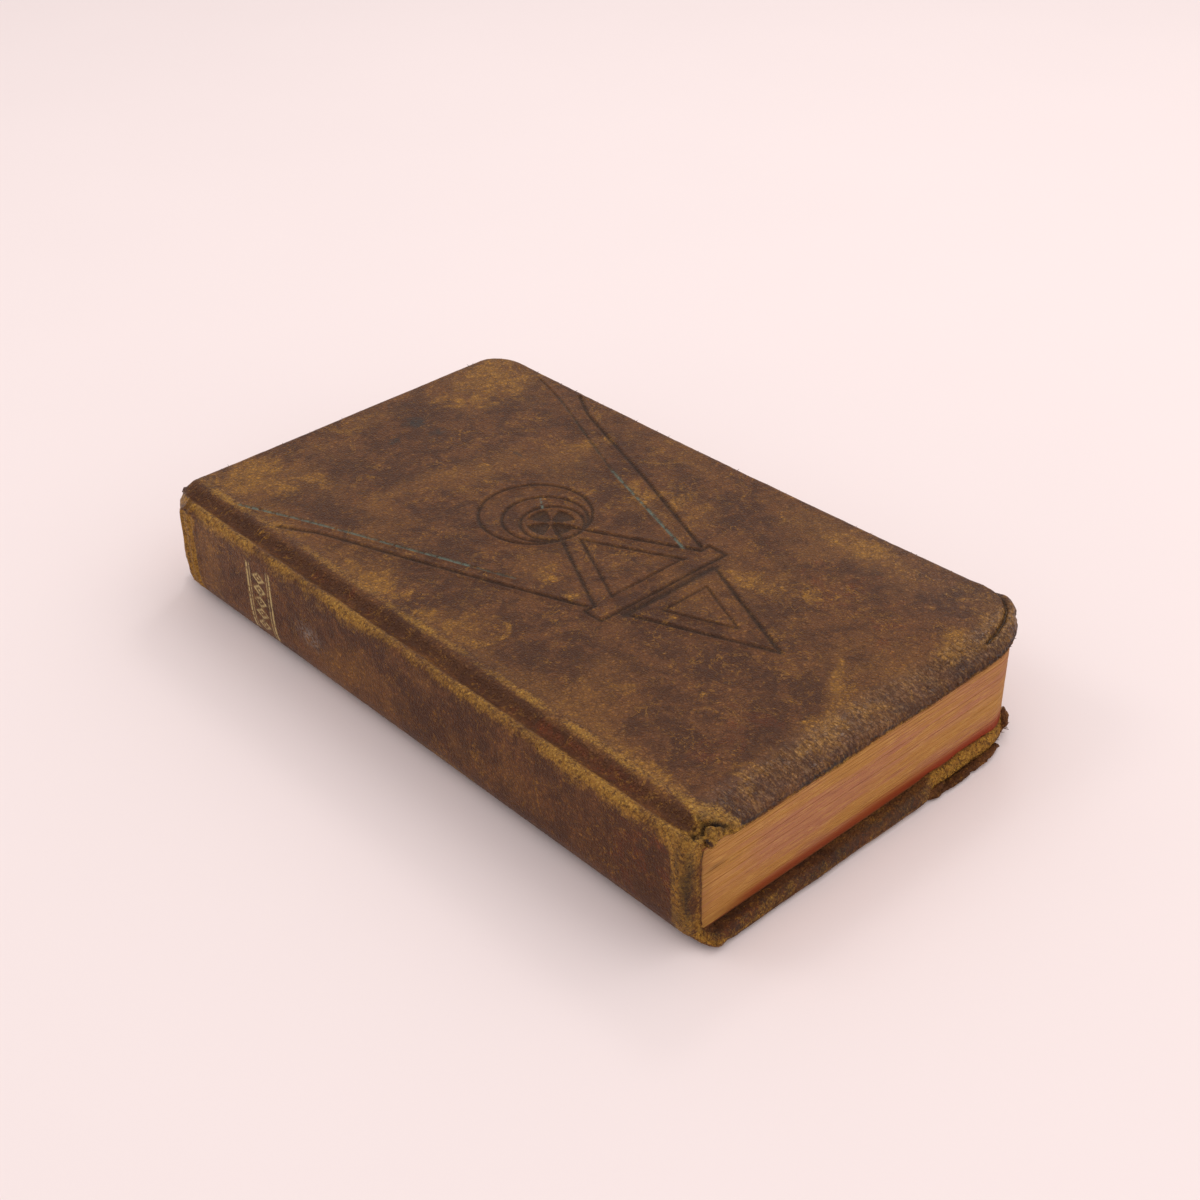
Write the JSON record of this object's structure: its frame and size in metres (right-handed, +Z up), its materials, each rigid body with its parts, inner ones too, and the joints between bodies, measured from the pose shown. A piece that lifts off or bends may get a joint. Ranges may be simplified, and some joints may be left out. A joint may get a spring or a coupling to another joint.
{
  "type": "antique leather book",
  "caption": "Old pocket book in limp full leather with tooled front cover, round corners, coloured page edges and covers that open at the joints.",
  "frame": {"origin": "centre of the closed book's footprint, on the surface that its back cover lies on", "axes": "+Z up through the front cover, +Y to the head of the book, +X to the fore-edge, with the spine on the -X side"},
  "size_m": [0.0946, 0.157, 0.024],
  "materials": {
    "leather": "worn mottled brown goatskin, rubbed to tan along edges",
    "board": "grey-brown pasteboard",
    "endpaper": "aged cream endpaper",
    "leaves": "cream leaves with faded red and gold edges",
    "spine_card": "thin card",
    "spine_paper": "brown lining paper",
    "spine_cloth": "open starched cloth"
  },
  "bodies": {
    "text_block": {"pages": "leaves", "front_flyleaf": "endpaper", "back_flyleaf": "endpaper", "spine_leather": "leather", "spine_inlay": "spine_card", "spine_lining": "spine_paper", "spine_mull": "spine_cloth"},
    "front_cover": {"front_leather": "leather", "front_board": "board", "front_pastedown": "endpaper"},
    "back_cover": {"back_leather": "leather", "back_board": "board", "back_pastedown": "endpaper"}
  },
  "joints": [
    {"name": "front_hinge", "type": "hinge", "parent": "text_block", "child": "front_cover", "pos_m": [-0.0449, 0, 0.0216], "axis": [0, -1, 0], "range_deg": [0, 180]},
    {"name": "back_hinge", "type": "hinge", "parent": "text_block", "child": "back_cover", "pos_m": [-0.0429, 0, 0.0044], "axis": [0, 1, 0], "range_deg": [0, 180]}
  ]
}
